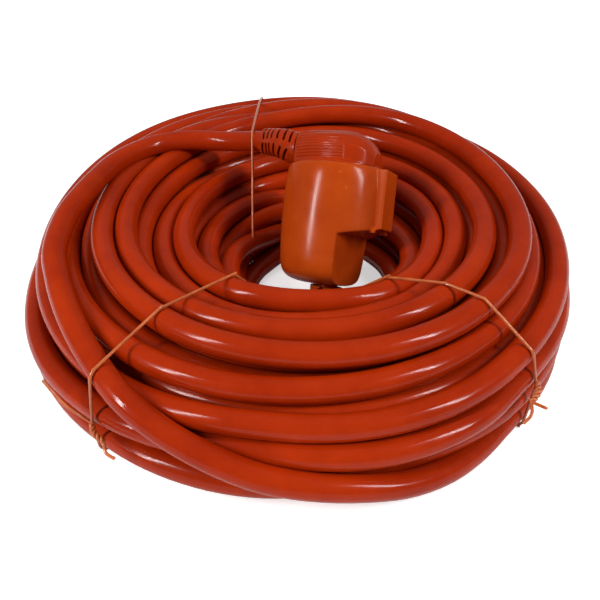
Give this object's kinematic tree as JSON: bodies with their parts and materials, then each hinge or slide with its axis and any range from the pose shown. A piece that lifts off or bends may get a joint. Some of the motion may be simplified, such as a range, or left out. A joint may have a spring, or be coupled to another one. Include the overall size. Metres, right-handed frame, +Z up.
{
  "type": "shore power cord",
  "caption": "Orange shore power cord in a fat round coil held by wire ties, its angled earthed plug pushed into its own moulded coupling in the coil's hole.",
  "frame": {"origin": "middle of the coil on the floor it lies on", "axes": "+Z up; +Y to the back of the coil, the way the plug's top leans; +X to the right as seen from the front"},
  "size_m": [0.256, 0.2804, 0.0823],
  "materials": {
    "orange_sheath": "smooth flexible cord sheath, satin",
    "orange_moulding": "moulded orange, soft gloss",
    "grey_carrier": "hard moulded insulating insert, matt grey",
    "brass": "pressed brass strip and tube",
    "nickel": "nickel plated, bright",
    "tie_wire": "thin orange covered wire",
    "core_brown": "brown core insulation",
    "core_blue": "blue core insulation",
    "core_green_yellow": "green and yellow core insulation"
  },
  "bodies": {
    "coil_and_coupling": {"cord_coil": "orange_sheath", "coupling_tail": "orange_sheath", "plug_tail": "orange_sheath", "coupling_housing": "orange_moulding", "coupling_bend_sleeve": "orange_moulding", "coupling_insert": "grey_carrier", "coupling_live_contact": "brass", "coupling_neutral_contact": "brass", "coupling_earth_bow": "brass", "tie_back": "tie_wire", "tie_front_left": "tie_wire", "tie_front_right": "tie_wire", "coupling_live_core": "core_brown", "coupling_neutral_core": "core_blue", "coupling_earth_core": "core_green_yellow"},
    "plug": {"plug_body": "orange_moulding", "pin_bridge": "grey_carrier", "live_pin": "nickel", "neutral_pin": "nickel", "plug_earth_strap": "nickel", "plug_live_core": "core_brown", "plug_neutral_core": "core_blue", "plug_earth_core": "core_green_yellow", "plug_bend_sleeve": "orange_moulding", "plug_cord_end": "orange_sheath"}
  },
  "joints": [
    {"name": "plug_pull_out", "type": "slide", "parent": "coil_and_coupling", "child": "plug", "axis": [0.101, 0.5592, 0.8229], "range_m": [0, 0.037]}
  ]
}
